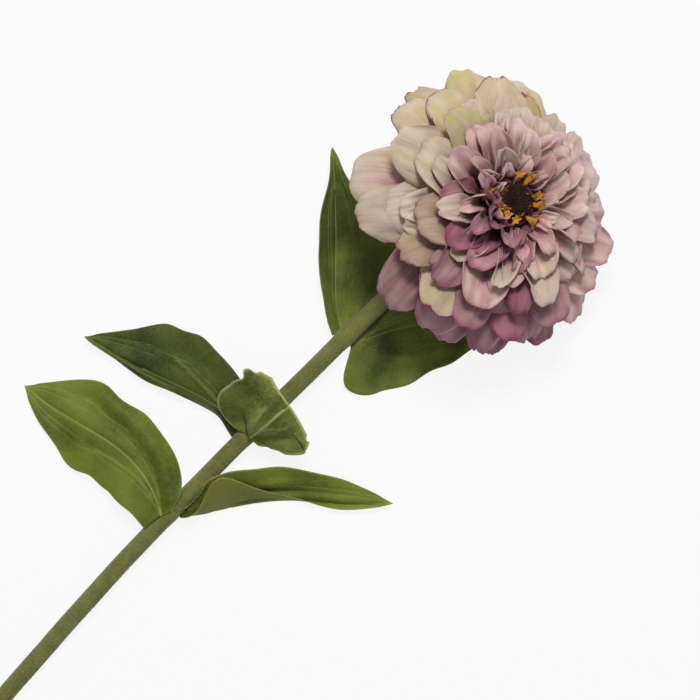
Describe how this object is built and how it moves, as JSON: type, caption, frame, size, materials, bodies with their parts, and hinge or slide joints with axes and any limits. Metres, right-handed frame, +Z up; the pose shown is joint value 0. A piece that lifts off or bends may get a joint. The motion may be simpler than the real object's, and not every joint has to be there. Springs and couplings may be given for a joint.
{
  "type": "zinnia flower",
  "caption": "Cut double zinnia lying down: layered ray petals round a dark disc with yellow florets, a green calyx, a long stem and opposite pairs of leaves.",
  "frame": {"origin": "on the surface the flower lies on, under the middle of its bounding box", "axes": "+X along the stem towards the bloom, +Z up from the surface, the bloom facing up"},
  "size_m": [0.3708, 0.1366, 0.0652],
  "materials": {
    "stem": "matte",
    "calyx": "matte",
    "petals": "matte",
    "yellow_florets": "matte",
    "disc": "matte",
    "leaf": "satin"
  },
  "bodies": {
    "root": {"stem": "stem", "calyx": "calyx", "petals": "petals", "yellow_florets": "yellow_florets", "disc": "disc", "leaf_low_left": "leaf", "leaf_low_right": "leaf", "leaf_middle_left": "leaf", "leaf_middle_hood": "leaf", "leaf_top_left": "leaf", "leaf_top_right": "leaf"}
  },
  "joints": []
}
